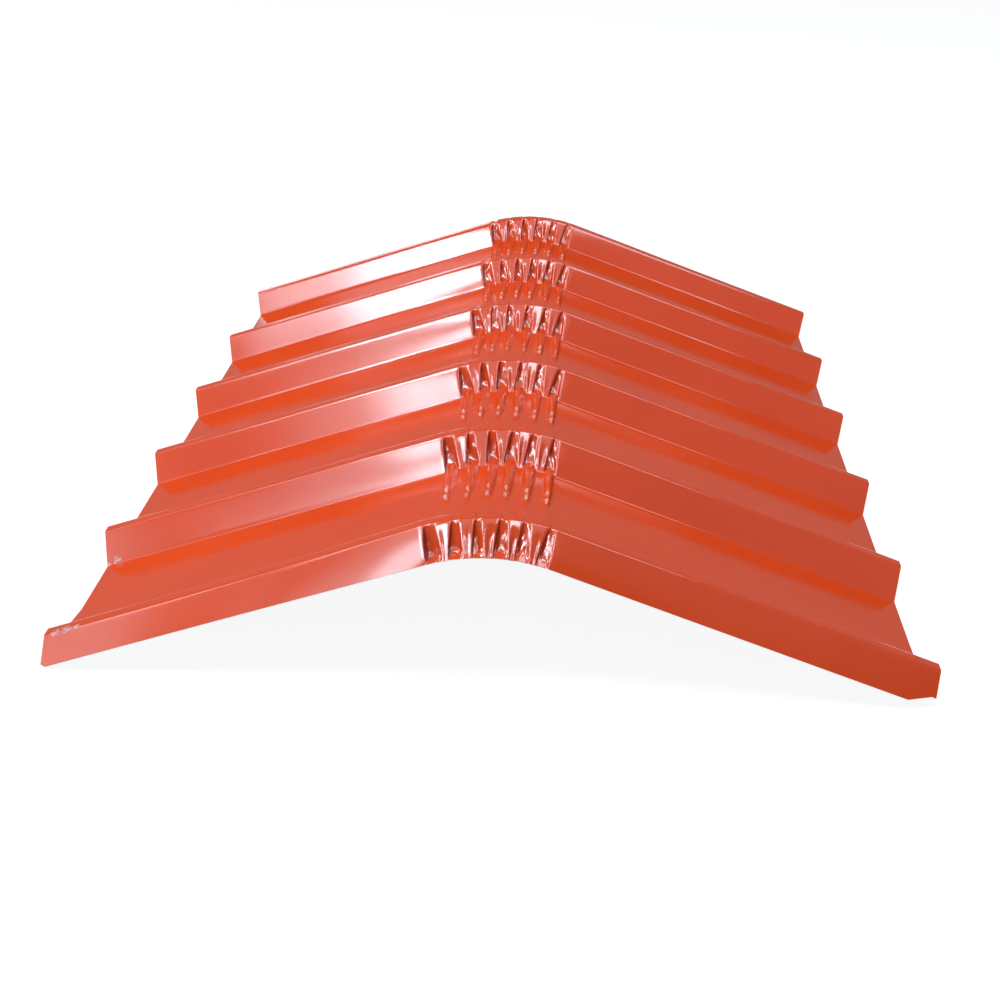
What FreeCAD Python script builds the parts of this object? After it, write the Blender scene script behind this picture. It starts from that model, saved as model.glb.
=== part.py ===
import FreeCAD, Part
import Sketcher
import math
import os

# Roof ridge cap: one trapezoidal sheet, bent over the ridge. Six crimped pleats
# gather every bay, pressed into its webs and raised as fingers on its pan, and
# the rib crests stay smooth. Millimetres. Y runs along the ridge, X across it, Z is up.
# The origin is at the middle of the footprint, on the level of the wing tips.

V = FreeCAD.Vector
doc = FreeCAD.newDocument("RoofRidgeCap")

# Driving sizes
SIZES = [
    ("rib_pitch", 200.0),
    ("rib_count", 6),
    ("crest_width", 12.0),
    ("web_run", 27.0),
    ("rib_height", 24.0),
    ("gauge", 0.5),
    ("half_bend", 19.0),
    ("pan_radius", 150.0),
    ("wing_length", 320.0),
    ("free_web_share", 0.94),
    ("pleat_count", 6),
    ("pleat_rise", 3.8),
    ("dent_depth", 2.8),
    ("pleat_share", 0.72),
    ("pleat_gather", 0.72),
    ("pinch_rise", 0.18),
]
sheet = doc.addObject("Spreadsheet::Sheet", "Sizes")
for line, (alias, number) in enumerate(SIZES, 1):
    sheet.set("A%d" % line, alias.replace("_", " "))
    sheet.set("B%d" % line, str(number))
    sheet.setAlias("B%d" % line, alias)
doc.recompute()


def size(alias):
    """The number in the sheet's cell of this name."""
    return float(sheet.get(alias))


# Sketches of the rolled section, drawn across the ribs
def origin_plane(body, role):
    """The body's own origin plane of this role."""
    return [f for f in body.Origin.OriginFeatures if f.Role == role][0]


def section_sketch(body, name, corners):
    """A closed sketch of straight lines through the corners, on the YZ plane."""
    sketch = body.newObject("Sketcher::SketchObject", name)
    sketch.AttachmentSupport = [(origin_plane(body, "YZ_Plane"), "")]
    sketch.MapMode = "FlatFace"
    count = len(corners)
    for i in range(count):
        (ya, za), (yb, zb) = corners[i], corners[(i + 1) % count]
        sketch.addGeometry(Part.LineSegment(V(ya, za, 0), V(yb, zb, 0)), False)
    for i in range(count):
        sketch.addConstraint(Sketcher.Constraint("Coincident", i, 2, (i + 1) % count, 1))
    return sketch


def bind(sketch, constraint, formula):
    """Adds a sized constraint and binds its size to the sheet."""
    index = sketch.addConstraint(constraint)
    sketch.setExpression("Constraints[%d]" % index, formula)


def bay_sketch(body):
    """One bay: half a crest, web, pan, web and half the next crest."""
    crest, run, rise = size("crest_width") / 2, size("web_run"), size("rib_height")
    pitch, gauge = size("rib_pitch"), size("gauge")
    mitre = gauge * math.tan(math.atan2(rise, run) / 2)
    outer = [(0, rise), (crest, rise), (crest + run, 0)]
    outer += [(pitch - crest - run, 0), (pitch - crest, rise), (pitch, rise)]
    inner = [(pitch, rise - gauge), (pitch - crest + mitre, rise - gauge)]
    inner += [(pitch - crest - run + mitre, -gauge), (crest + run - mitre, -gauge)]
    inner += [(crest - mitre, rise - gauge), (0, rise - gauge)]
    sketch = section_sketch(body, "BaySection", outer + inner)
    C = Sketcher.Constraint
    for line in (0, 2, 4, 6, 8, 10):
        sketch.addConstraint(C("Horizontal", line))
    sketch.addConstraint(C("PointOnObject", 0, 1, -2))
    sketch.addConstraint(C("PointOnObject", 10, 2, -2))
    sketch.addConstraint(C("PointOnObject", 2, 1, -1))
    sketch.addConstraint(C("Horizontal", 0, 2, 4, 1))
    sketch.addConstraint(C("Vertical", 5))
    sketch.addConstraint(C("Parallel", 1, 9))
    sketch.addConstraint(C("Parallel", 3, 7))
    bind(sketch, C("DistanceY", -1, 1, 0, 1, rise), "Sizes.rib_height")
    bind(sketch, C("DistanceX", -1, 1, 4, 2, pitch), "Sizes.rib_pitch")
    bind(sketch, C("DistanceX", 0, 1, 0, 2, crest), "Sizes.crest_width / 2")
    bind(sketch, C("DistanceX", 4, 1, 4, 2, crest), "Sizes.crest_width / 2")
    bind(sketch, C("DistanceX", 1, 1, 1, 2, run), "Sizes.web_run")
    bind(sketch, C("DistanceX", 3, 1, 3, 2, run), "Sizes.web_run")
    bind(sketch, C("DistanceY", 10, 2, 0, 1, gauge), "Sizes.gauge")
    bind(sketch, C("DistanceY", 6, 1, 4, 2, gauge), "Sizes.gauge")
    bind(sketch, C("DistanceY", 8, 2, 1, 2, gauge), "Sizes.gauge")
    bind(sketch, C("Distance", 9, 2, 1, gauge), "Sizes.gauge")
    bind(sketch, C("Distance", 7, 1, 3, gauge), "Sizes.gauge")
    return sketch


def edge_sketch(body, name, side, place):
    """Half a crest and the free web beyond it, which stops short of pan level."""
    crest, run, rise = size("crest_width") / 2, size("web_run"), size("rib_height")
    gauge, share = size("gauge"), size("free_web_share")
    lean = math.atan2(rise, run)
    mitre = gauge * math.tan(lean / 2)
    tip = (place + side * (crest + share * run), rise * (1 - share))
    root = (tip[0] - side * gauge * math.sin(lean), tip[1] - gauge * math.cos(lean))
    outer = [(place, rise), (place + side * crest, rise), tip]
    inner = [root, (place + side * (crest - mitre), rise - gauge), (place, rise - gauge)]
    sketch = section_sketch(body, name, outer + inner)
    C = Sketcher.Constraint
    near, far = (1, 2) if side > 0 else (2, 1)
    for line in (0, 4):
        sketch.addConstraint(C("Horizontal", line))
    sketch.addConstraint(C("Vertical", 5))
    sketch.addConstraint(C("Parallel", 1, 3))
    sketch.addConstraint(C("Perpendicular", 1, 2))
    if place == 0:
        sketch.addConstraint(C("PointOnObject", 0, 1, -2))
    else:
        formula = "(Sizes.rib_count - 1) * Sizes.rib_pitch"
        bind(sketch, C("DistanceX", -1, 1, 0, 1, place), formula)
    bind(sketch, C("DistanceY", -1, 1, 0, 1, rise), "Sizes.rib_height")
    bind(sketch, C("DistanceX", 0, near, 0, far, crest), "Sizes.crest_width / 2")
    formula = "Sizes.web_run * Sizes.free_web_share"
    bind(sketch, C("DistanceX", 1, near, 1, far, share * run), formula)
    formula = "Sizes.rib_height * Sizes.free_web_share"
    bind(sketch, C("DistanceY", 1, 2, 1, 1, share * rise), formula)
    bind(sketch, C("DistanceY", 5, 1, 0, 1, gauge), "Sizes.gauge")
    bind(sketch, C("Distance", 3, 1, 1, gauge), "Sizes.gauge")
    return sketch


def padded(body, name, sketch, side):
    """The section carried down the slope for the whole wing."""
    pad = body.newObject("PartDesign::Pad", name)
    pad.Profile = sketch
    pad.setExpression("Length", "Sizes.wing_length")
    pad.Reversed = side < 0
    return pad


LIFT = "Sizes.wing_length * sin(Sizes.half_bend * 1 deg)"
LIFT += " - (Sizes.pan_radius - Sizes.gauge) * cos(Sizes.half_bend * 1 deg)"


def wing(name, side):
    """One flat wing with all its ribs, sloping down from the bend."""
    body = doc.addObject("PartDesign::Body", name)
    padded(body, name + "FrontEdge", edge_sketch(body, name + "FrontWeb", -1, 0), side)
    bay = padded(body, name + "Bay", bay_sketch(body), side)
    doc.recompute()
    row = body.newObject("PartDesign::LinearPattern", name + "Bays")
    row.Originals = [bay]
    row.Direction = ([f for f in body.Origin.OriginFeatures if f.Role == "Y_Axis"][0], [""])
    row.setExpression("Length", "Sizes.rib_pitch * (Sizes.rib_count - 2)")
    row.setExpression("Occurrences", "Sizes.rib_count - 1")
    body.Tip = row
    doc.recompute()
    far = size("rib_pitch") * (size("rib_count") - 1)
    padded(body, name + "BackEdge", edge_sketch(body, name + "BackWeb", 1, far), side)
    turn = "Sizes.half_bend * %d" % side
    body.Placement = FreeCAD.Placement(V(0, 0, 0), FreeCAD.Rotation(V(0, side, 0), 10))
    body.setExpression("Placement.Rotation.Angle", "Sizes.half_bend * 1 deg")
    across = "Sizes.pan_radius * sin(%s * 1 deg)" % turn
    body.setExpression("Placement.Base.x", across)
    body.setExpression("Placement.Base.y", "-Sizes.rib_pitch * (Sizes.rib_count - 1) / 2")
    upward = "Sizes.pan_radius * cos(Sizes.half_bend * 1 deg) + " + LIFT
    body.setExpression("Placement.Base.z", upward)
    doc.recompute()
    return body


# The crimped bend
PITCH, RIBS = size("rib_pitch"), int(size("rib_count"))
CREST, RUN, RISE = size("crest_width") / 2, size("web_run"), size("rib_height")
GAUGE, SHARE = size("gauge"), size("free_web_share")
HALF, RADIUS = math.radians(size("half_bend")), size("pan_radius")
PLEATS, PLEAT_RISE = int(size("pleat_count")), size("pleat_rise")
PLEAT_SHARE, GATHER = size("pleat_share"), size("pleat_gather")
LEAN = math.atan2(RISE, RUN)
MITRE = math.tan(LEAN / 2)
DENT = size("dent_depth") / PLEAT_RISE
PULL = (math.cos(LEAN) + DENT) / math.sin(LEAN)
MIDWAY = 0.58
DROP = size("wing_length") * math.sin(HALF) - (RADIUS - GAUGE) * math.cos(HALF)
FOLDS = (0.0, 0.2, 0.38, 0.5, 0.62, 0.8, 1.0)


def fold_marks():
    """Where the sheet folds, 0 to 1 round the bend: seven lines to each pleat and
    one midway between two pleats."""
    marks = [0.0]
    for cell in range(PLEATS):
        start = cell + (1 - PLEAT_SHARE) / 2
        marks += [(start + PLEAT_SHARE * fold) / PLEATS for fold in FOLDS]
        marks.append((cell + 1.0) / PLEATS)
    return marks


def pleat(u):
    """Height of the pleats at u, 0 to 1 round the bend: a row of rounded folds."""
    cell = (u * PLEATS) % 1.0 - 0.5
    if abs(cell) >= PLEAT_SHARE / 2:
        return 0.0
    return PLEAT_RISE * 0.5 * (1 + math.cos(2 * math.pi * cell / PLEAT_SHARE))


def turned(u, narrow):
    """Angle round the bend; narrow draws the foot of each pleat to a point."""
    wave = math.sin(2 * math.pi * (u * PLEATS % 1.0 - 0.5)) / (2 * math.pi * PLEATS)
    return HALF * (2 * (u - narrow * wave) - 1)


def across(u, level, fold, narrow):
    """Point of the outer skin in the plane across the ridge, as x and z."""
    reach = RADIUS + level + fold * pleat(u)
    angle = turned(u, narrow)
    return reach * math.sin(angle), reach * math.cos(angle)


def normal(u, level, fold, narrow):
    """Outward direction across the ridge, square to the skin there."""
    a, b = u - 1e-4, u + 1e-4
    if fold * (pleat(a) + pleat(b)) == 0:
        return math.sin(turned(u, narrow)), math.cos(turned(u, narrow))
    xa, za = across(a, level, fold, narrow)
    xb, zb = across(b, level, fold, narrow)
    span = math.hypot(xb - xa, zb - za)
    return -(zb - za) / span, (xb - xa) / span


def section_line(place, level, fold, narrow, spread, inset, depth):
    """One line of the section carried round the bend, on both faces of the sheet."""
    outer, inner = [], []
    for u in fold_marks():
        x, z = across(u, level, fold, narrow)
        nx, nz = normal(u, level, fold, narrow)
        y = place + spread * fold * pleat(u)
        outer.append(V(x, y, z + DROP))
        inner.append(V(x - nx * depth, y - inset, z - nz * depth + DROP))
    return outer, inner


def free_web(mid, side):
    """The lines of a free web below its crest: dented midway, straight at the cut edge."""
    inset, depth = side * GAUGE * math.sin(LEAN), GAUGE * math.cos(LEAN)
    lines = []
    for share, dent in ((MIDWAY, DENT), (SHARE, 0)):
        place, level = mid + side * (CREST + share * RUN), RISE * (1 - share)
        fold, spread = -dent * math.cos(LEAN), side * math.tan(LEAN)
        narrow = GATHER * (1 - share)
        lines.append(section_line(place, level, fold, narrow, spread, inset, depth))
    return lines


def bend_lines():
    """All lines of the section from front to back: crests smooth, and at every foot
    the fingers of the pan run up into the dents of the web."""
    lines = []
    first = -PITCH * (RIBS - 1) / 2
    pinch = size("pinch_rise")
    for rib in range(RIBS):
        mid = first + PITCH * rib
        for side in (-1, 1):
            fold_in = side * GAUGE * MITRE
            crest = section_line(mid + side * CREST, RISE, 0, GATHER, 0, fold_in, GAUGE)
            foot_y = mid + side * (CREST + RUN)
            if (rib == 0 and side < 0) or (rib == RIBS - 1 and side > 0):
                web = [crest] + free_web(mid, side)
                lines += web[::-1] if side < 0 else web
                continue
            foot = section_line(foot_y, 0, 1, 0, -side * PULL, fold_in, GAUGE)
            if side < 0:
                lines += [foot, crest]
                continue
            lines += [crest, foot]
            pan = PITCH - 2 * (CREST + RUN)
            for share, fold in ((0.25, pinch), (0.5, pinch), (0.62, 0.85)):
                lines.append(section_line(foot_y + share * pan, 0, fold, 0, 0, 0, GAUGE))
    return lines


def facets(line, other):
    """The flat strips between two neighbouring lines, one to each fold."""
    strips = []
    for a, b, c, d in zip(line[:-1], line[1:], other[:-1], other[1:]):
        near, far = Part.LineSegment(a, b).toShape(), Part.LineSegment(c, d).toShape()
        strips.append(Part.makeRuledSurface(near, far))
    return strips


def pleated_bend():
    """The whole bend as a thin solid: two skins, their free edges and two ends."""
    lines = bend_lines()
    faces = []
    for (outer_a, inner_a), (outer_b, inner_b) in zip(lines[:-1], lines[1:]):
        faces += facets(outer_a, outer_b) + facets(inner_a, inner_b)
    for outer, inner in (lines[0], lines[-1]):
        faces += facets(outer, inner)
    for end in (0, -1):
        outline = [outer[end] for outer, inner in lines]
        outline += [inner[end] for outer, inner in reversed(lines)]
        faces.append(Part.Face(Part.makePolygon(outline + outline[:1])))
    shell = Part.makeShell(faces)
    shell.sewShape(1e-3)
    solid = Part.makeSolid(shell)
    if solid.Volume < 0:
        solid.reverse()
    return solid


left = wing("LeftWing", -1)
right = wing("RightWing", 1)
bend = doc.addObject("Part::Feature", "Bend")
bend.Shape = pleated_bend()
cap = doc.addObject("Part::MultiFuse", "RidgeCap")
cap.Shapes = [left, bend, right]
cap.Refine = False
cap.Label = "ridge_cap"
doc.recompute()

# Checks, then the file
for thing in doc.Objects:
    if "Invalid" in thing.State or "Error" in thing.State:
        raise RuntimeError(thing.Name + " failed: " + str(thing.State))
for thing in (left, right, bend, cap):
    shape = thing.Shape
    if shape.isNull() or not shape.isValid() or len(shape.Solids) != 1:
        raise RuntimeError(thing.Name + " is not one valid solid")
box = cap.Shape.BoundBox
print("box", [round(n, 2) for n in (box.XMin, box.YMin, box.ZMin, box.XMax, box.YMax, box.ZMax)])
print("volume", round(cap.Shape.Volume, 1), "bend", round(bend.Shape.Volume, 1))
os.makedirs("parts", exist_ok=True)
cap.Shape.exportStep("parts/ridge_cap.step")
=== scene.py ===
import bpy
import math
import numpy as np
from mathutils import Matrix, Vector


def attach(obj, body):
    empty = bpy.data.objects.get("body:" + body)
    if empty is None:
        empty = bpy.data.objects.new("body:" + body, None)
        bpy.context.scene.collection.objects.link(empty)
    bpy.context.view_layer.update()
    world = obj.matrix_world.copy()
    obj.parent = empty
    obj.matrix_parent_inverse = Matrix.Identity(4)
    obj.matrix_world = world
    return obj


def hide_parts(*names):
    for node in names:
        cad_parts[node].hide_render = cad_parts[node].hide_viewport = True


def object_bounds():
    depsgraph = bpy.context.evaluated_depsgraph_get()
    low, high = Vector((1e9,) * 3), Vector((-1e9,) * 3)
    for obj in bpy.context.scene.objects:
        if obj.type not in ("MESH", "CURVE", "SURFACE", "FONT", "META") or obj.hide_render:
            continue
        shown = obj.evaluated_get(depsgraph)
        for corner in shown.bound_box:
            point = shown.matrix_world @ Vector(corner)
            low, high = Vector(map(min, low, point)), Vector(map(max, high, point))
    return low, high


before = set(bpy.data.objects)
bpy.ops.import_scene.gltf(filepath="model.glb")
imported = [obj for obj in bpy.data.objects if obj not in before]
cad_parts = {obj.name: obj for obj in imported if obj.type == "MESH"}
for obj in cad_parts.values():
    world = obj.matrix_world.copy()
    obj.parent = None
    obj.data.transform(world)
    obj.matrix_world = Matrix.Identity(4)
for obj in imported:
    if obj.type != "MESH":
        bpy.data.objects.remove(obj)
first_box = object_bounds()

# Sizes of the rolled and crimped sheet, in metres
PITCH, RIBS = 0.200, 6
CREST, RUN, RISE = 0.006, 0.027, 0.024          # half the crest, web across, web up
GAUGE = 0.0005
HALF, RADIUS = math.radians(19), 0.150          # half the bend, radius at pan level
WING = 0.320
FREE = 0.94                                     # how far down the free webs reach
PLEATS, FINGER, DENT = 6, 0.0040, 0.0042        # pleats round the bend, finger's height, dent's depth
DROP = WING * math.sin(HALF) - (RADIUS - GAUGE) * math.cos(HALF)
LEAN = math.atan2(RISE, RUN)
FIRST = -PITCH * (RIBS - 1) / 2
PAN = PITCH - 2 * (CREST + RUN)
ARC = 2 * HALF * RADIUS                         # round the whole bend, at pan level
FOLD = 0.0012                                   # how far each rolled fold's rounding reaches
BULGE, SWELL = 0.0006, 0.00016                  # of the webs beside the bend, of the wings
CLIPPED_LEFT, CLIPPED_RIGHT = 0.10, 0.27        # share of the front web cut off at its two ends
PRESSED = 0.30                                  # share of its height that the front rib loses

# Where the points stand across the sheet: shares of the web and crest, distances over the pan
FRONT_WEB_PARTS = np.array([0.10, 0.20, 0.30, 0.40, 0.50, 0.60, 0.70, 0.80, 0.91])
CREST_PARTS = np.array([0.08, 0.92])
BACK_WEB_PARTS = np.array([0.15, 0.38, 0.62, 0.85])
PAN_STOPS = np.array([0.005, 0.011, 0.022, 0.034, 0.043, 0.0482, 0.0505, 0.0525, 0.0545, 0.0568,
                      0.0590, 0.0612, 0.0635, 0.0655, 0.0675, 0.0698, 0.075, 0.088, 0.108, 0.127])

# Where the columns stand down a wing, as shares of its length
WING_PARTS = np.array([0.006, 0.02, 0.045, 0.08, 0.13, 0.2, 0.28, 0.38, 0.5, 0.64, 0.8, 0.93, 0.988, 1.0])

# Each pleat is drawn between seven fold lines. The tables give, for lines across the sheet, where
# the five inner ones stand in the pleat's room and how deep or high the sheet is at them.
STEPS = (3, 5, 5, 5, 5, 4)      # columns from each fold line to the next
WEB_PLACES = np.array([        # share down the web, then the five places
    (0.00, 0.34, 0.41, 0.50, 0.58, 0.66),
    (0.30, 0.27, 0.315, 0.46, 0.60, 0.72),
    (0.60, 0.21, 0.255, 0.43, 0.62, 0.79),
    (0.85, 0.17, 0.23, 0.44, 0.66, 0.84),
    (1.00, 0.15, 0.27, 0.47, 0.68, 0.82)])
WEB_DENT = np.array([          # share down the web, then how far the five lines are pressed in
    (0.00, 0.00, 0.10, 0.12, 0.06, 0.00),
    (0.30, 0.00, 0.95, 0.64, 0.32, -0.06),
    (0.60, 0.00, 1.15, 0.84, 0.46, -0.10),
    (0.85, 0.00, 0.98, 0.86, 0.62, -0.05),
    (1.00, 0.00, 0.66, 0.84, 0.66, 0.00)])
FREE_DENT = np.array([         # the same on the two free webs, which flatten again at the cut edge
    (0.00, 0.00, 0.10, 0.12, 0.06, 0.00),
    (0.30, 0.00, 0.95, 0.66, 0.32, -0.06),
    (0.58, 0.00, 1.18, 0.92, 0.52, -0.10),
    (0.72, 0.00, 1.05, 0.95, 0.60, -0.08),
    (0.94, 0.00, -0.10, -0.12, -0.06, 0.00)])
PAN_PLACES = np.array([        # distance from the foot of the rib behind, then the five places
    (0.000, 0.16, 0.28, 0.47, 0.68, 0.82),
    (0.012, 0.18, 0.29, 0.45, 0.62, 0.80),
    (0.045, 0.22, 0.32, 0.46, 0.60, 0.76),
    (0.060, 0.28, 0.36, 0.46, 0.58, 0.66),
    (0.074, 0.27, 0.36, 0.47, 0.59, 0.69),
    (0.100, 0.17, 0.31, 0.47, 0.66, 0.82),
    (0.134, 0.16, 0.28, 0.47, 0.68, 0.82)])
PAN_RISE = np.array([          # the same distance, then how high the five lines stand
    (0.000, 0.00, 0.78, 1.00, 0.80, 0.00),
    (0.012, 0.00, 0.70, 1.00, 0.80, -0.10),
    (0.045, 0.00, 0.56, 0.88, 0.62, -0.18),
    (0.054, 0.00, 0.30, 0.58, 0.40, -0.20),
    (0.064, 0.00, 0.10, 0.22, 0.14, -0.20),
    (0.076, 0.00, 0.00, 0.02, 0.00, -0.14),
    (0.090, 0.00, 0.00, 0.00, 0.00, 0.00),
    (0.101, 0.00, 0.08, 0.12, 0.08, 0.00),
    (0.134, 0.00, 0.78, 1.00, 0.80, 0.00)])

# The knobs at each finger's end: distance from the foot behind and height of each, and their reach
KNOBS = ((0.0525, 0.0026), (0.0655, 0.0032))
KNOB_ROUND, KNOB_ALONG = 0.0022, 0.0034
KNOB_LEFT = 0.008       # how far left of its finger's fold line, as a share of the bend

# Chips in the paint: the middle and the reach of each
CHIPS = [
    ((-0.3500, -0.5015, 0.0197), 0.0050),
    ((-0.3420, -0.5015, 0.0232), 0.0062),
    ((-0.3330, -0.5020, 0.0261), 0.0035),
    ((-0.3425, -0.3305, 0.0068), 0.0048),
    ((-0.3530, -0.3320, 0.0015), 0.0048)]

rng = np.random.default_rng(41)


# The section: one row of points from the front free edge to the back one
def rounded(a, corner, b, steps):
    """Points of a rolled fold: a quadratic curve from a to b that leans on the corner."""
    t = np.linspace(0, 1, steps + 1)[:, None]
    return (1 - t) ** 2 * a + 2 * t * (1 - t) * corner + t ** 2 * b


def straight(a, b, parts):
    """Points from a to b at the given shares of the way, without the two ends."""
    t = np.asarray(parts)[:, None]
    return a + t * (b - a)


def section():
    """The outline across the ribs as (y, height over the pan): straight runs between folds,
    each fold rounded over the same small reach, with more points where the pleats change."""
    corners, fills = [], []
    pan_parts = 1 - PAN_STOPS[::-1] / PAN
    for rib in range(RIBS):
        mid = FIRST + PITCH * rib
        reach = FREE if rib == 0 else 1.0
        corners.append((mid - CREST - reach * RUN, RISE * (1 - reach)))
        fills.append(FRONT_WEB_PARTS)
        corners.append((mid - CREST, RISE))
        fills.append(CREST_PARTS)
        corners.append((mid + CREST, RISE))
        fills.append(BACK_WEB_PARTS)
        reach = FREE if rib == RIBS - 1 else 1.0
        corners.append((mid + CREST + reach * RUN, RISE * (1 - reach)))
        fills.append(pan_parts)
    corners = np.array(corners)
    rows = [corners[:1]]
    start = corners[0]
    for i in range(1, len(corners) - 1):
        before, here, after = corners[i - 1], corners[i], corners[i + 1]
        back = (before - here) / np.linalg.norm(before - here) * FOLD
        on = (after - here) / np.linalg.norm(after - here) * FOLD
        rows.append(straight(start, here + back, fills[i - 1]))
        rows.append(rounded(here + back, here, here + on, 2))
        start = here + on
    rows.append(straight(start, corners[-1], BACK_WEB_PARTS))
    rows.append(corners[-1:])
    return np.vstack(rows)


def smooth(x, low, high):
    """Eases from 0 at low to 1 at high."""
    t = np.clip((x - low) / (high - low), 0, 1)
    return t * t * (3 - 2 * t)


def between(table, place):
    """The table's five values at each place, in straight lines between its rows."""
    return np.stack([np.interp(place, table[:, 0], table[:, j]) for j in range(1, 6)], axis=1)


def blurred(field, times):
    """Evens out neighbouring columns with the weights 1, 2, 1, some times over."""
    for _ in range(times):
        wide = np.pad(field, ((0, 0), (1, 1)), mode="edge")
        field = (wide[:, :-2] + 2 * wide[:, 1:-1] + wide[:, 2:]) / 4
    return field


class Rows:
    """Where each row of the section lies: which rib and which side of it, how far down the web
    (share, 0 at the crest and 1 at the foot) and how far out over the pan from either foot."""

    def __init__(self):
        line = section()
        self.y, self.level = line[:, 0], line[:, 1]
        self.count = len(line)
        self.rib = np.clip(np.rint((self.y - FIRST) / PITCH), 0, RIBS - 1).astype(int)
        aside = self.y - (FIRST + PITCH * self.rib)
        self.side = np.where(aside < 0, -1.0, 1.0)
        run = np.abs(aside) - CREST
        self.share = np.clip(run / RUN, 0, 1)
        self.out = np.clip(run - RUN, 0, None)
        self.from_foot = np.where(self.side < 0, self.out, PAN - self.out)
        self.on_pan = self.out > 0
        self.front_free = (self.rib == 0) & (self.side < 0)
        self.free = self.front_free | ((self.rib == RIBS - 1) & (self.side > 0))
        self.weight = self.web_weights()

    def web_weights(self):
        """How much of each web's own differences a row takes: those of its web, or on the pan
        those of the web behind it, passing over to those of the web in front."""
        web_set = self.rib * 2 + (self.side > 0)
        rear_set = np.where(self.side < 0, self.rib * 2, np.minimum(self.rib * 2 + 2, 2 * RIBS - 1))
        fore_set = np.where(self.side < 0, np.maximum(self.rib * 2 - 1, 0), self.rib * 2 + 1)
        fade = smooth(self.from_foot, 0.086, 0.102)
        weight = np.zeros((self.count, 2 * RIBS))
        rows = np.arange(self.count)
        weight[rows, np.where(self.on_pan, rear_set, web_set)] += np.where(self.on_pan, 1 - fade, 1)
        weight[rows, np.where(self.on_pan, fore_set, web_set)] += np.where(self.on_pan, fade, 0)
        return weight

    def own(self, low, high, *shape):
        """A value of its own for every pleat of every web, mixed along the rows."""
        values = rng.uniform(low, high, (2 * RIBS, PLEATS) + shape)
        return np.tensordot(self.weight, values, axes=(1, 0))


def fold_lines(rows):
    """Places of the seven fold lines of each pleat in each row, as shares of the pleat's room:
    the tables' places, widened, shifted and leant over a little differently in each pleat."""
    on_pan = rows.on_pan[:, None]
    places = np.where(on_pan, between(PAN_PLACES, rows.from_foot), between(WEB_PLACES, rows.share))
    places = places[:, None, :]
    middle = places[:, :, 2:3]
    widened = middle + (places - middle) * rows.own(0.86, 1.12)[:, :, None]
    places = widened + rows.own(-0.035, 0.035)[:, :, None]
    places = places + rows.own(-0.022, 0.022, 5)
    places = places + rows.own(-0.05, 0.05)[:, :, None] * (1 - 2 * rows.share)[:, None, None]
    first_edge = np.where(rows.on_pan, 0.05, 0.15 - 0.11 * rows.share)
    places[:, 0, 0] = np.minimum(places[:, 0, 0], first_edge)
    places[:, 0, 1] = np.minimum(places[:, 0, 1], places[:, 0, 0] + 0.12)
    start = np.zeros((rows.count, PLEATS, 1))
    return np.concatenate([start, np.sort(np.clip(places, 0.04, 0.97), axis=2), start + 1], axis=2)


def web_crumple(rows):
    """Small differences in depth of each pleat's three middle lines, drawn at five levels down the
    web and mixed between them, which fade to nothing at the crest and at the foot."""
    drawn = rows.own(-0.20, 0.20, 5, 3)
    level = np.clip(rows.share * 4, 0, 3.999)
    low = level.astype(int)
    part = (level - low)[:, None, None]
    index = np.arange(rows.count)
    mixed = drawn[index, :, low] * (1 - part) + drawn[index, :, low + 1] * part
    return mixed * (np.sin(np.pi * np.clip(rows.share, 0, 1)) ** 0.6)[:, None, None]


def depths(rows):
    """How far the seven fold lines are pressed into the web and how high they stand on the pan:
    the tables' values times each pleat's own strength. The room's two ends belong to the facets
    between pleats, where a shallow groove of its own runs down the web."""
    strength = rows.own(0.78, 1.12)[:, :, None]
    crumple = web_crumple(rows)
    dent = np.where(rows.free[:, None], between(FREE_DENT, rows.share), between(WEB_DENT, rows.share))
    dent = dent[:, None, :] * strength
    dent[:, :, 1:4] = dent[:, :, 1:4] + crumple
    rise = between(PAN_RISE, np.where(rows.on_pan, rows.from_foot, 0))[:, None, :] * strength
    groove = rows.own(0.0, 1.0)
    groove[:, 0] = 0
    groove = groove * np.interp(rows.share, (0.15, 0.45, 0.75, 1.0), (0.0, 0.45, 0.5, 0.0))[:, None]
    groove = groove * np.where(rows.on_pan, 0, 1)[:, None]
    nothing = np.zeros((rows.count, PLEATS, 1))
    ends = np.concatenate([groove, nothing[:, 0, :]], axis=1)
    dent = np.concatenate([ends[:, :-1, None], dent, ends[:, 1:, None]], axis=2) * DENT
    rise = np.concatenate([nothing, rise, nothing], axis=2) * FINGER
    return dent, rise


def on_columns(values):
    """Spreads each pleat's seven lines over the columns between them, in straight lines."""
    line = np.concatenate([np.full(n, i) for i, n in enumerate(STEPS)])
    step = np.concatenate([np.arange(n) / n for n in STEPS])
    grid = values[:, :, line] * (1 - step) + values[:, :, line + 1] * step
    grid = grid.reshape(len(values), -1)
    return np.concatenate([grid, values[:, -1, -1:]], axis=1)


def painted_wall_shade(rows, phase, dent):
    """Where shade is painted dark into the coating, 0 to 1: the steep left wall of each dent, by its slope
    along the row, and a little of the dent's floor."""
    wall = np.gradient(dent, axis=1) / (np.gradient(phase, axis=1) * ARC + 1e-6)
    painted_shade = smooth(wall, 0.15, 1.1) + 0.25 * smooth(dent / DENT, 0.5, 1.0)
    return np.minimum(painted_shade, 1) * (1 - rows.on_pan)[:, None]


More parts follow.
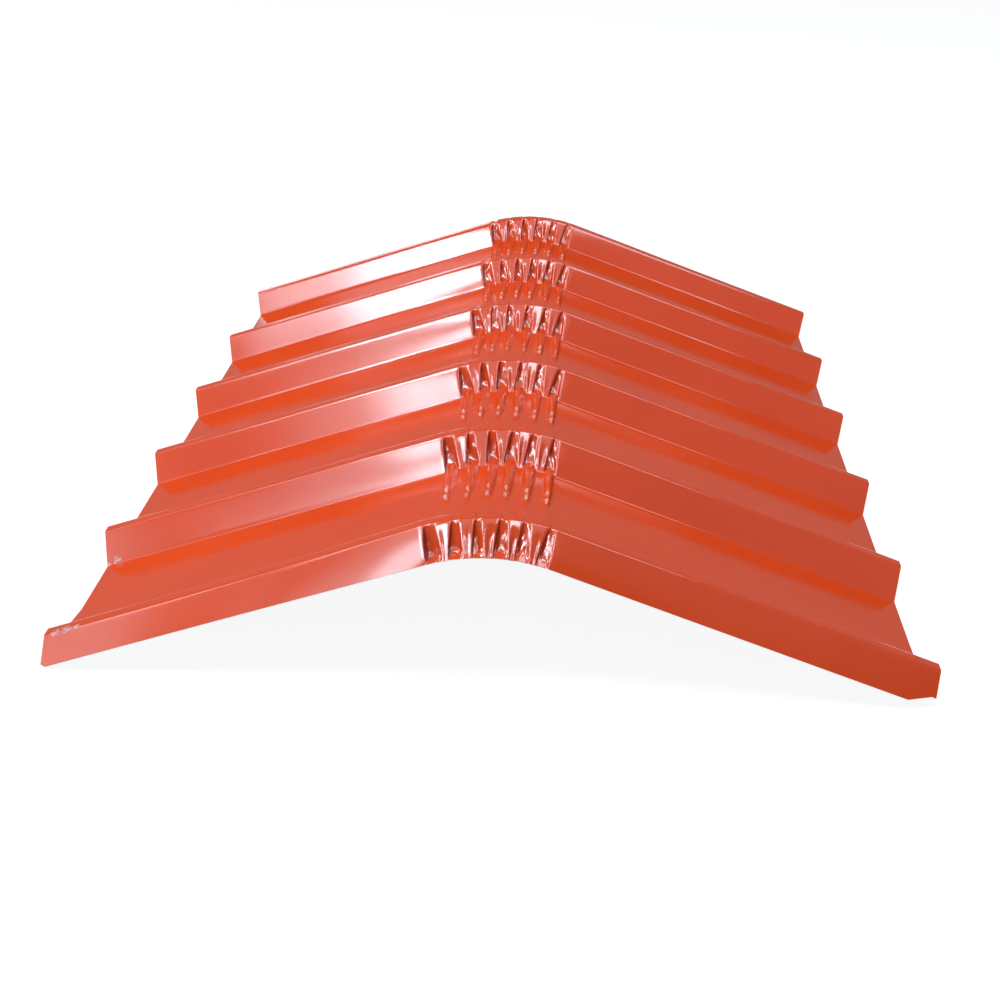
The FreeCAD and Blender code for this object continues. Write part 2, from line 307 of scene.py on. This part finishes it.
def knobs(rows, phase, places):
    """The two small knobs that the tool's jaws leave at the end of each finger, as the height they add and
    how pale they are painted, partly as scuffed paint and partly as a painted highlight. Each is exp(-u^3
    - v^3) of its distances from the knob's middle, round the bend and along the finger, over the knob's
    reach."""
    middle = (places[:, :, 3] + np.arange(PLEATS))[:, :, None] / PLEATS - KNOB_LEFT
    ahead = rows.own(-0.002, 0.002)[:, :, None]
    size = rows.own(0.80, 1.10)[:, :, None]
    bare = rows.own(0.55, 1.05)[:, :, None]
    height = scuff_and_highlight = 0
    for place, tall in KNOBS:
        off_u = (phase[:, None, :] - middle) * ARC / KNOB_ROUND
        off_v = ((rows.from_foot[:, None, None] - place) - ahead) / KNOB_ALONG
        knob = np.exp(-(off_u ** 2) ** 1.5 - (off_v ** 2) ** 1.5) * size * rows.on_pan[:, None, None]
        height = height + knob.sum(axis=1) * tall
        scuff_and_highlight = scuff_and_highlight + (knob * bare).sum(axis=1)
    return height, scuff_and_highlight


def wing_swell(rows, far, slope):
    """How far the wings are from flat: two sums of slow sine waves, calm at the bend, at the wing
    tips and at the front and back edges."""
    calm = smooth(far, 0.0, 0.1) * smooth(1 - far, 0.0, 0.12)
    front, back = rows.y.min(), rows.y.max()
    calm = calm * (smooth(rows.y, front, front + 0.05) * smooth(-rows.y, -back, 0.05 - back))[:, None]
    y = rows.y[:, None]
    waves = np.sin(far * 7.1 + y * 23 + 1.3) + 0.7 * np.sin(far * 12.7 - y * 41 + np.sign(slope))
    return SWELL * calm * waves


def front_rib(rows, far, slope):
    """The front rib's own damage: the share of its height that is pressed away, more towards its
    left end and fading over the pan behind, and the share of its web that is left where the two
    lower corners are clipped, the right one more than the left one."""
    front = (rows.rib == 0)[:, None]
    left = slope < 0
    fading = (1 - smooth(rows.out, 0, 0.05))[:, None]
    pressed = PRESSED * front * fading * np.sin(np.pi / 2 * np.clip(far / 0.85, 0, 1)) * left
    clip_left = CLIPPED_LEFT * np.clip((far - 0.988) / 0.012, 0, 1)
    clip_right = CLIPPED_RIGHT * np.clip((far - 0.93) / 0.058, 0, 1)
    kept = 1 - np.where(slope > 0, clip_right, clip_left) * rows.front_free[:, None]
    return pressed, kept


def sheet_surface():
    """The outer face as a grid of points, and at each how much painted shade it takes and how pale it is
    painted as scuffed paint and painted highlight. Each point is the section's point carried round the
    bend at its own height. In the bend every pleat is a raised finger on the pan and a dent pressed into
    the web, which meet where the finger's top runs up the web."""
    rows = Rows()
    places = fold_lines(rows)
    dent, rise = depths(rows)
    phase = on_columns(places + np.arange(PLEATS)[None, :, None]) / PLEATS
    dent, rise = on_columns(dent), on_columns(rise)
    round_off = smooth(rows.share, 0.75, 1.0)[:, None]
    dent = blurred(dent, 1) * (1 - round_off) + blurred(dent, 4) * round_off
    flat_pan = smooth(rows.from_foot, 0.066, 0.078)[:, None]
    rise = blurred(rise, 4) * (1 - flat_pan) + blurred(rise, 40) * flat_pan
    # Painted shade: dark in the dents' steep walls
    painted_shade = painted_wall_shade(rows, phase, dent)
    # Knob height, and how pale the knobs are painted as scuffed paint and painted highlight
    height, scuff_and_highlight = knobs(rows, phase, places)
    rise = rise + height

    # Both wings join on with flat columns
    bend = np.zeros(phase.shape[1])
    slope = np.concatenate([-WING_PARTS[::-1], bend, WING_PARTS])[None, :] * WING
    sides = ((0, 0), (len(WING_PARTS), len(WING_PARTS)))
    padded = (np.pad(field, sides, mode="edge") for field in (phase, dent, rise, scuff_and_highlight, painted_shade))
    phase, dent, rise, scuff_and_highlight, painted_shade = padded
    angle = HALF * (2 * phase - 1)
    past = np.abs(slope)
    far = past / WING

    # Beside the bend the webs bulge a little, and the wings are nowhere quite flat
    pan, side, share = rows.on_pan[:, None], rows.side[:, None], rows.share[:, None]
    web = 4 * share * (1 - share) * (1 - pan)
    into = np.minimum(phase, 1 - phase) * ARC
    dent = dent - BULGE * web * np.exp(-past / 0.045) * np.exp(-into / 0.004)
    swell = wing_swell(rows, far, slope)
    rise = rise + swell

    # Up the web: in along its normal, and drawn up so that its foot stays on the finger's top
    foot = share * (1 - pan)
    slide = (rise + dent * math.cos(LEAN)) / math.sin(LEAN) * (1 - rows.free)[:, None]
    pull = slide * math.cos(LEAN) + dent * math.sin(LEAN)
    nearest = np.minimum(rows.from_foot, PAN - rows.from_foot)[:, None]
    over = np.clip(1 - nearest / 0.018, 0, 1) ** 2
    web_y = -side * (slide * foot * math.cos(LEAN) + dent * math.sin(LEAN))
    web_z = slide * foot * math.sin(LEAN) - dent * math.cos(LEAN) + swell

    # The damaged front rib, then every row carried round the bend and down the wings
    pressed, kept = front_rib(rows, far, slope)
    crest_y = (FIRST + PITCH * rows.rib + rows.side * CREST)[:, None]
    level = rows.level[:, None]
    y1 = np.where(share > 0, crest_y + (rows.y[:, None] - crest_y) * kept, rows.y[:, None])
    height = np.where(share > 0, RISE + (level - RISE) * kept, level)
    y1 = y1 + 0.5 * pressed * height
    height = height * (1 - pressed)
    y = y1 + np.where(pan, -side * pull * over, web_y)
    radius = RADIUS + height + np.where(pan, rise, web_z)
    x = radius * np.sin(angle) + slope * math.cos(HALF) - pressed * (0.008 + 0.004 * share)
    z = radius * np.cos(angle) - past * math.sin(HALF) + DROP
    return np.stack([x, y, z], axis=2), {"scuff_and_highlight": scuff_and_highlight, "painted_shade": painted_shade}


def sheet_mesh(name):
    """A closed thin sheet: the outer grid, the same grid moved in by the gauge along its own
    normals, and a strip of faces round the cut edges."""
    outer, marks = sheet_surface()
    normal = np.cross(np.gradient(outer, axis=1), np.gradient(outer, axis=0))
    normal /= np.linalg.norm(normal, axis=2, keepdims=True)
    inner = outer - normal * GAUGE
    rows, cols = outer.shape[:2]
    half = rows * cols
    points = np.concatenate([outer.reshape(-1, 3), inner.reshape(-1, 3)])
    points = np.clip(points, np.array(first_box[0]), np.array(first_box[1]))
    index = np.arange(half).reshape(rows, cols)
    a, b, c, d = index[:-1, :-1], index[:-1, 1:], index[1:, 1:], index[1:, :-1]
    top = np.stack([a, b, c, d], axis=-1).reshape(-1, 4)
    under = np.stack([a, d, c, b], axis=-1).reshape(-1, 4) + half
    ring = np.concatenate([index[0, :-1], index[:-1, -1], index[-1, :0:-1], index[:0:-1, 0]])
    following = np.roll(ring, -1)
    edge = np.stack([following, ring, ring + half, following + half], axis=-1)
    faces = np.concatenate([top, under, edge])
    mesh = bpy.data.meshes.new(name)
    mesh.vertices.add(len(points))
    mesh.vertices.foreach_set("co", points.astype(np.float32).ravel())
    mesh.loops.add(faces.size)
    mesh.loops.foreach_set("vertex_index", faces.astype(np.int32).ravel())
    mesh.polygons.add(len(faces))
    mesh.polygons.foreach_set("loop_start", np.arange(0, faces.size, 4, dtype=np.int32))
    mesh.polygons.foreach_set("loop_total", np.full(len(faces), 4, dtype=np.int32))
    kinds = np.concatenate([np.zeros(len(top)), np.ones(len(under)), np.full(len(edge), 2)])
    mesh.polygons.foreach_set("material_index", kinds.astype(np.int32))
    mesh.polygons.foreach_set("use_smooth", kinds < 2)
    mesh.update(calc_edges=True)
    mesh.validate()
    for mark, field in marks.items():
        layer = mesh.attributes.new(mark, "FLOAT", "POINT")
        both_faces = np.concatenate([field.ravel(), np.zeros(half)])
        layer.data.foreach_set("value", both_faces.astype(np.float32))

    # The cut edge is sharp: its normals aren't mixed with those of the two faces
    ends = np.zeros(len(mesh.edges) * 2, dtype=np.int32)
    mesh.edges.foreach_get("vertices", ends)
    rim = np.zeros(len(points), dtype=bool)
    rim[ring], rim[ring + half] = True, True
    ends = ends.reshape(-1, 2)
    same_face = (ends[:, 0] < half) == (ends[:, 1] < half)
    mesh.edges.foreach_set("use_edge_sharp", rim[ends[:, 0]] & rim[ends[:, 1]] & same_face)
    piece = bpy.data.objects.new(name, mesh)
    bpy.context.scene.collection.objects.link(piece)
    return piece


# Shader maths as expressions
class Num:
    """A shader socket that adds, subtracts and multiplies by Math nodes."""

    def __init__(self, tree, value):
        self.tree, self.value = tree, value

    def _with(self, kind, first, second):
        return self.tree.node("ShaderNodeMath", {"operation": kind}, {0: first, 1: second})

    def __add__(self, other):
        return self._with("ADD", self, other)

    __radd__ = __add__

    def __mul__(self, other):
        return self._with("MULTIPLY", self, other)

    __rmul__ = __mul__

    def __sub__(self, other):
        return self._with("SUBTRACT", self, other)

    def __rsub__(self, other):
        return self._with("SUBTRACT", other, self)

    def above(self, edge, soft):
        """0 below the edge, 1 above it, eased over the soft width."""
        settings = {"interpolation_type": "SMOOTHSTEP"}
        return self.tree.node("ShaderNodeMapRange", settings, {0: self, 1: edge - soft, 2: edge + soft})


class Nodes:
    """A node tree whose nodes are added one by one."""

    def __init__(self, tree):
        self.tree = tree

    def node(self, kind, settings=None, inputs=None, output=0):
        made = self.tree.nodes.new(kind)
        for key, value in (settings or {}).items():
            setattr(made, key, value)
        for key, value in (inputs or {}).items():
            self.feed(made.inputs[key], value)
        return Num(self, made.outputs[output])

    def feed(self, socket, value):
        if isinstance(value, Num):
            value = value.value
        if isinstance(value, bpy.types.NodeSocket):
            self.tree.links.new(value, socket)
        else:
            socket.default_value = value

    def mix(self, factor, first, second):
        """Colour first where the factor is 0 and second where it is 1."""
        return self.node("ShaderNodeMix", {"data_type": "RGBA"}, {0: factor, 6: first, 7: second}, 2)

    def noise(self, where, scale, detail=2.0):
        return self.node("ShaderNodeTexNoise", None, {"Vector": where, "Scale": scale, "Detail": detail})

    def place(self):
        """The place on the object, in metres."""
        return self.node("ShaderNodeTexCoord", output="Object")

    def mark(self, name):
        """The value of the piece's own attribute of that name."""
        return self.node("ShaderNodeAttribute", {"attribute_name": name}, None, "Fac")


class Finish(Nodes):
    """A material, whose main shader's sockets are set by name."""

    def __init__(self, name):
        self.material = bpy.data.materials.new(name)
        self.material.use_nodes = True
        super().__init__(self.material.node_tree)

    def set(self, **values):
        for key, value in values.items():
            self.feed(self.tree.nodes["Principled BSDF"].inputs[key.replace("_", " ")], value)


def chips(coat, where):
    """Where the paint is chipped: round each centre a patch that is made ragged by a fine noise."""
    ragged = coat.noise(where, 240.0)
    chipped = 0.0
    for centre, reach in CHIPS:
        away = coat.node("ShaderNodeVectorMath", {"operation": "DISTANCE"}, {0: where, 1: centre}, "Value")
        chipped = (ragged + (1 - away * (1 / reach)) * 0.45).above(0.66, 0.08) + chipped
    return chipped


def prepaint():
    """Glossy orange-red coil coating, with a little unevenness of colour and gloss. Shade is painted dark
    into the dents' steep walls, the knobs are painted paler, partly as scuffed paint and partly as a
    painted highlight, and the paint is chipped, with dark specks in the bare patches, at the left ends of
    the two front ribs."""
    deep, bright = (0.71, 0.048, 0.004, 1), (0.75, 0.056, 0.007, 1)
    # Painted shade colour for the dents' walls, and the knobs' pale colour of scuffed paint and painted
    # highlight
    painted_shade_colour, pale_scuff_and_highlight = (0.17, 0.018, 0.020, 1), (0.86, 0.42, 0.30, 1)
    bare_pink, bare_speck = (0.70, 0.26, 0.22, 1), (0.24, 0.05, 0.05, 1)
    coat = Finish("orange_red_prepaint")
    where = coat.place()
    cloud = coat.noise(where, 9.0, 3.0)
    colour = coat.mix(cloud.above(0.5, 0.25), deep, bright)
    # Painted shade: the dents' steep walls darkened
    colour = coat.mix(coat.mark("painted_shade") * 0.85, colour, painted_shade_colour)
    # Painted highlight and scuffed paint: the knobs made paler
    colour = coat.mix(coat.mark("scuff_and_highlight").above(0.55, 0.40) * 0.75, colour, pale_scuff_and_highlight)
    chipped = chips(coat, where)
    specks = coat.noise(where, 420.0, 1.0).above(0.56, 0.06)
    bare = coat.mix(specks, bare_pink, bare_speck)
    colour = coat.mix(chipped.above(0.5, 0.5), colour, bare)
    uneven = coat.noise(where, 900.0, 1.0) + coat.noise(where, 22.0) * 2.0
    bump = coat.node("ShaderNodeBump", None, {"Strength": 0.05, "Distance": 0.0004, "Height": uneven})
    coat.set(Base_Color=colour, Roughness=chipped * 0.3 + 0.12, IOR=1.65, Normal=bump)
    return coat.material


def backing():
    """Thin grey-white backing coat on the underside."""
    coat = Finish("backing_coat")
    cloud = coat.noise(coat.place(), 14.0, 3.0)
    colour = coat.mix(cloud, (0.50, 0.49, 0.46, 1), (0.58, 0.57, 0.54, 1))
    coat.set(Base_Color=colour, Roughness=0.55)
    return coat.material


def cut_steel():
    """Sheared zinc-coated edge."""
    coat = Finish("sheared_edge")
    coat.set(Base_Color=(0.45, 0.30, 0.27, 1), Roughness=0.5, Metallic=0.6)
    return coat.material


cap = sheet_mesh("cap_sheet")
for finish in (prepaint(), backing(), cut_steel()):
    cap.data.materials.append(finish)
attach(cap, "root")
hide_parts("ridge_cap")


# Stage: a white floor, a soft grey surround, soft boxes overhead and the photograph's camera
def surround():
    """The world: grey light that falls from 0.24 near the horizon to 0.16 overhead."""
    world = bpy.data.worlds.new("surround")
    bpy.context.scene.world = world
    world.use_nodes = True
    sky = Nodes(world.node_tree)
    height = sky.node("ShaderNodeSeparateXYZ", None, {0: sky.place()}, "Z")
    levels = {0: height, 1: 0.25, 2: 0.7, 3: 0.24, 4: 0.16}
    light = sky.node("ShaderNodeMapRange", {"interpolation_type": "SMOOTHSTEP"}, levels)
    ground = world.node_tree.nodes["Background"]
    sky.feed(ground.inputs["Color"], (0.97, 0.98, 1.0, 1))
    sky.feed(ground.inputs["Strength"], light)


def white_floor():
    """A floor that the camera and reflections see white with a faint shadow, and that lights the
    cap from below as plain white paper does."""
    mesh = bpy.data.meshes.new("floor")
    mesh.from_pydata([(-40, -40, 0), (40, -40, 0), (40, 40, 0), (-40, 40, 0)], [], [(0, 1, 2, 3)])
    paper = Finish("white_floor")
    rays = ("Is Camera Ray", "Is Glossy Ray", "Is Transmission Ray")
    camera_ray, glossy_ray, through_ray = (paper.node("ShaderNodeLightPath", output=ray) for ray in rays)
    plain = paper.node("ShaderNodeBsdfDiffuse", None, {"Color": (0.78, 0.78, 0.78, 1)})
    shaded = paper.node("ShaderNodeBsdfDiffuse", None, {"Color": (0.24, 0.24, 0.24, 1)})
    glow = paper.node("ShaderNodeEmission", None, {"Color": (1, 1, 1, 1), "Strength": 0.90})
    white = paper.node("ShaderNodeAddShader", None, {0: shaded, 1: glow})
    seen = camera_ray + glossy_ray + through_ray
    either = paper.node("ShaderNodeMixShader", None, {0: seen, 1: plain, 2: white})
    paper.feed(paper.tree.nodes["Material Output"].inputs["Surface"], either)
    mesh.materials.append(paper.material)
    floor = bpy.data.objects.new("floor", mesh)
    bpy.context.scene.collection.objects.link(floor)
    return floor


def panel(name, place, wide, deep, radiance, towards=None):
    """A flat soft box, slightly cool, facing straight down or towards a point; radiance 1 is white."""
    data = bpy.data.lights.new(name, "AREA")
    data.shape, data.size, data.size_y = "RECTANGLE", wide, deep
    data.energy = radiance * math.pi * wide * deep
    data.color = (0.74, 0.97, 1.08)
    lamp = bpy.data.objects.new(name, data)
    bpy.context.scene.collection.objects.link(lamp)
    lamp.location = place
    if towards:
        lamp.rotation_euler = (Vector(towards) - Vector(place)).to_track_quat("-Z", "Y").to_euler()


surround()
floor = white_floor()

# Overhead, seen in the left webs: white at the far ribs, and only beside the bend at the near ones
panel("soft_box_back", (-1.60, 0.08, 3.0), 0.70, 0.60, 22)
panel("soft_box_side", (-2.15, 0.08, 3.0), 0.40, 0.60, 6)
panel("soft_box_strip", (-1.64, -0.72, 3.0), 0.36, 0.56, 16)
panel("soft_box_fringe", (-2.00, -0.78, 3.0), 0.40, 0.76, 2.0)
panel("soft_box_front", (-1.36, -1.38, 3.0), 0.80, 0.62, 19)
panel("soft_box_low", (-2.12, -1.47, 3.0), 0.70, 0.60, 9)

# Seen in the outer parts of the left webs and in the folds at their tops
panel("soft_box_left", (-2.50, -0.60, 3.0), 0.70, 1.60, 0.3)
panel("soft_box_corner", (-3.15, -0.60, 3.0), 0.60, 2.00, 2.2)
panel("soft_box_fold", (-2.72, 0.72, 3.0), 0.96, 0.50, 4.5)
panel("soft_box_far", (-1.80, 1.72, 3.0), 0.60, 0.26, 6)

# Seen in the pleats' facets and in the right webs, and plain light from above
panel("soft_box_middle", (0.40, -0.64, 3.0), 0.22, 1.86, 14)
panel("soft_box_top", (0.95, 0.78, 3.0), 1.90, 0.75, 5.4)
panel("diffuser", (0.08, -0.60, 3.05), 2.15, 1.90, 1.15)
panel("diffuser_right", (2.00, -0.60, 3.05), 1.70, 1.90, 0.25)

# From the left side and from far behind, which the crests and the dents' right flanks show
panel("window", (-3.30, 0.10, 2.10), 0.60, 0.75, 13, (0.0, 0.0, 0.10))
panel("soft_box_behind", (-1.26, 6.20, 0.93), 0.66, 0.26, 3.2, (0.0, 0.20, 0.10))
panel("soft_box_behind_left", (-1.88, 6.20, 0.71), 0.62, 0.26, 3.2, (0.0, 0.20, 0.10))

# The camera stands where the photograph was taken from
data = bpy.data.cameras.new("camera")
data.lens, data.sensor_width = 64.443, 36.0
camera = bpy.data.objects.new("camera", data)
bpy.context.scene.collection.objects.link(camera)
bpy.context.scene.camera = camera
bpy.context.scene.view_settings.view_transform = "Standard"
camera.matrix_world = Matrix(
    ((0.998474, -0.042895, 0.034769, 0.054167),
     (0.048419, 0.377515, -0.924737, -1.780788),
     (0.026541, 0.92501, 0.379016, 0.674915),
     (0.0, 0.0, 0.0, 1.0)))
